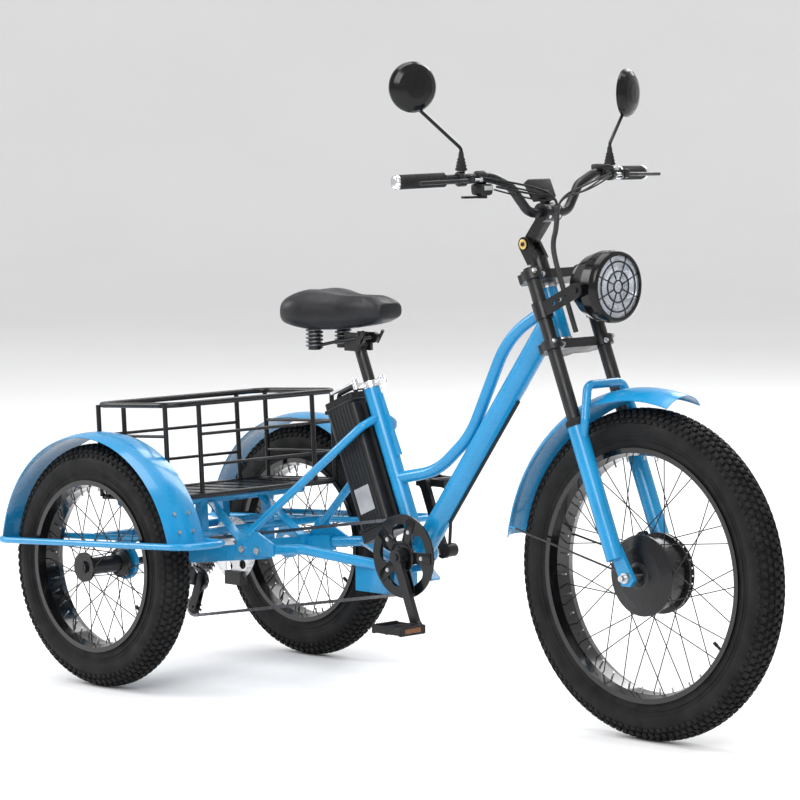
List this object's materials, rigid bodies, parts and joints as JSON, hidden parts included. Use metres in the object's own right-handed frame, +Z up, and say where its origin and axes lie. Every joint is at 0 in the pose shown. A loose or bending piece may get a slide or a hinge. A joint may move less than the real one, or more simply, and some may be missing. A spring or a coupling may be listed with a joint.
{
  "type": "adult cargo tricycle",
  "caption": "Adult cargo tricycle with balloon tyres, a step-through frame, a sprung fork with a front hub motor, a seat-tube battery and a wire basket between the rear wheels.",
  "frame": {"origin": "on the ground, in the middle of the tricycle's length and width", "axes": "+X forward, +Y to the rider's left, +Z up"},
  "size_m": [2.1968, 0.866, 1.5249],
  "materials": {
    "tyre": "matte",
    "blue_paint": "gloss",
    "black_paint": "gloss",
    "black_alloy": "satin",
    "bare_steel": "satin",
    "chrome": "gloss",
    "rubber": "matte",
    "black_plastic": "matte",
    "gloss_black_plastic": "gloss",
    "leather": "satin",
    "lens": "gloss"
  },
  "bodies": {
    "frame": {"main_frame": "blue_paint", "rear_subframe": "blue_paint", "rear_right_fender": "blue_paint", "rear_left_fender": "blue_paint", "cargo_basket": "black_paint", "bearings": "bare_steel", "rear_brake_caliper": "black_plastic", "derailleur": "black_alloy", "chain": "bare_steel", "frame_bolts": "chrome", "frame_electrics": "black_plastic", "battery_mount": "black_alloy", "seat_clamp": "chrome"},
    "crankset": {"chainring": "black_alloy", "chain_guard": "gloss_black_plastic", "crank_arms": "black_alloy"},
    "right_pedal": {"pedal_right": "black_plastic"},
    "left_pedal": {"pedal_left": "black_plastic"},
    "right_wheel": {"rear_right_tyre": "tyre", "rear_right_rim": "black_alloy", "rear_right_hub": "black_alloy", "rear_axle": "bare_steel", "rear_brake_disc": "bare_steel"},
    "left_wheel": {"rear_left_tyre": "tyre", "rear_left_rim": "black_alloy", "rear_left_hub": "black_alloy"},
    "freewheel": {"cassette": "bare_steel"},
    "upper_pulley": {"guide_pulley": "black_plastic"},
    "lower_pulley": {"tension_pulley": "black_plastic"},
    "fork": {"fork_crowns": "black_alloy", "fork_stanchions": "black_alloy", "lamp_brackets": "black_alloy", "stem_base": "black_alloy", "steering_cables": "rubber"},
    "lower_fork": {"fork_lowers": "blue_paint", "front_fender": "blue_paint", "front_axle": "bare_steel", "front_brake_caliper": "black_plastic"},
    "front_wheel": {"front_tyre": "tyre", "front_rim": "black_alloy", "hub_motor": "black_alloy", "front_brake_disc": "bare_steel"},
    "headlight": {"headlight_housing": "gloss_black_plastic", "headlight_lens": "lens"},
    "cockpit": {"handlebar": "black_alloy", "stem_arm": "black_alloy", "grips": "rubber", "bar_controls": "black_plastic"},
    "right_brake_lever": {"brake_lever_right": "black_alloy"},
    "left_brake_lever": {"brake_lever_left": "black_alloy"},
    "shifter": {"shift_lever": "black_plastic"},
    "right_mirror": {"mirror_right": "gloss_black_plastic"},
    "left_mirror": {"mirror_left": "gloss_black_plastic"},
    "seat_post": {"seatpost": "black_alloy", "saddle_clamp": "black_alloy"},
    "seat": {"saddle": "leather", "saddle_frame": "black_alloy"},
    "seat_lever": {"seat_qr_lever": "chrome"},
    "battery": {"battery_case": "black_alloy", "battery_handle": "black_plastic"}
  },
  "joints": [
    {"name": "steering", "type": "hinge", "parent": "frame", "child": "fork", "pos_m": [0.45836, 0, 0.869], "axis": [-0.3746, 0, 0.9272], "range_deg": [-40, 40]},
    {"name": "fork_travel", "type": "slide", "parent": "fork", "child": "lower_fork", "axis": [-0.3746, 0, 0.9272], "range_m": [0, 0.045], "stiffness_N_per_m": 16000, "springref_m": -0.012},
    {"name": "front_wheel_spin", "type": "hinge", "parent": "lower_fork", "child": "front_wheel", "pos_m": [0.721, 0, 0.376], "axis": [0, 1, 0], "continuous": true},
    {"name": "right_wheel_spin", "type": "hinge", "parent": "frame", "child": "right_wheel", "pos_m": [-0.759, -0.35, 0.299], "axis": [0, 1, 0], "continuous": true},
    {"name": "left_wheel_spin", "type": "hinge", "parent": "frame", "child": "left_wheel", "pos_m": [-0.759, 0.35, 0.299], "axis": [0, 1, 0], "continuous": true},
    {"name": "crank_spin", "type": "hinge", "parent": "frame", "child": "crankset", "pos_m": [-0.009, 0, 0.358], "axis": [0, 1, 0], "continuous": true},
    {"name": "right_pedal_spin", "type": "hinge", "parent": "crankset", "child": "right_pedal", "pos_m": [0.05468, -0.138, 0.20038], "axis": [0, 1, 0], "continuous": true},
    {"name": "left_pedal_spin", "type": "hinge", "parent": "crankset", "child": "left_pedal", "pos_m": [-0.07268, 0.138, 0.51562], "axis": [0, 1, 0], "continuous": true},
    {"name": "freewheel_spin", "type": "hinge", "parent": "frame", "child": "freewheel", "pos_m": [-0.759, -0.04, 0.299], "axis": [0, 1, 0], "continuous": true},
    {"name": "upper_pulley_spin", "type": "hinge", "parent": "frame", "child": "upper_pulley", "pos_m": [-0.734, -0.05, 0.235], "axis": [0, 1, 0], "continuous": true},
    {"name": "lower_pulley_spin", "type": "hinge", "parent": "frame", "child": "lower_pulley", "pos_m": [-0.759, -0.05, 0.165], "axis": [0, 1, 0], "continuous": true},
    {"name": "stem_tilt", "type": "hinge", "parent": "fork", "child": "cockpit", "pos_m": [0.34984, 0, 1.10557], "axis": [0, 1, 0], "range_deg": [-15, 10], "deforming": ["steering_cables"]},
    {"name": "right_brake", "type": "hinge", "parent": "cockpit", "child": "right_brake_lever", "pos_m": [0.41714, -0.25744, 1.25995], "axis": [0, 0, -1], "range_deg": [0, 11], "stiffness_Nm_per_rad": 0.9, "springref_deg": -14.32},
    {"name": "left_brake", "type": "hinge", "parent": "cockpit", "child": "left_brake_lever", "pos_m": [0.41714, 0.25744, 1.25995], "axis": [0, 0, 1], "range_deg": [0, 11], "stiffness_Nm_per_rad": 0.9, "springref_deg": -14.32},
    {"name": "shift_paddle", "type": "hinge", "parent": "cockpit", "child": "shifter", "pos_m": [0.39401, -0.20225, 1.22072], "axis": [0, 0, 1], "range_deg": [0, 18], "stiffness_Nm_per_rad": 0.3, "springref_deg": -11.46},
    {"name": "right_mirror_swivel", "type": "hinge", "parent": "cockpit", "child": "right_mirror", "pos_m": [0.37314, -0.24744, 1.27995], "axis": [0, 0, 1], "range_deg": [-50, 50]},
    {"name": "left_mirror_swivel", "type": "hinge", "parent": "cockpit", "child": "left_mirror", "pos_m": [0.37314, 0.24744, 1.27995], "axis": [0, 0, 1], "range_deg": [-50, 50]},
    {"name": "headlight_tilt", "type": "hinge", "parent": "fork", "child": "headlight", "pos_m": [0.581, 0, 1.013], "axis": [0, 1, 0], "range_deg": [-12, 12]},
    {"name": "seat_height", "type": "slide", "parent": "frame", "child": "seat_post", "axis": [-0.3875, 0, 0.9219], "range_m": [-0.05, 0.06]},
    {"name": "saddle_flip", "type": "hinge", "parent": "seat_post", "child": "seat", "pos_m": [-0.184, 0, 0.864], "axis": [0, 1, 0], "range_deg": [0, 60]},
    {"name": "seat_lever_swing", "type": "hinge", "parent": "frame", "child": "seat_lever", "pos_m": [-0.17672, -0.05, 0.75698], "axis": [-0.3875, 0, 0.9219], "range_deg": [0, 150]},
    {"name": "battery_slide", "type": "slide", "parent": "frame", "child": "battery", "axis": [-0.3875, 0, 0.9219], "range_m": [0, 0.06]}
  ],
  "couplings": [
    {"joint": "freewheel_spin", "follows": "crank_spin", "ratio": 2.75},
    {"joint": "upper_pulley_spin", "follows": "crank_spin", "ratio": -4},
    {"joint": "lower_pulley_spin", "follows": "crank_spin", "ratio": 4}
  ]
}
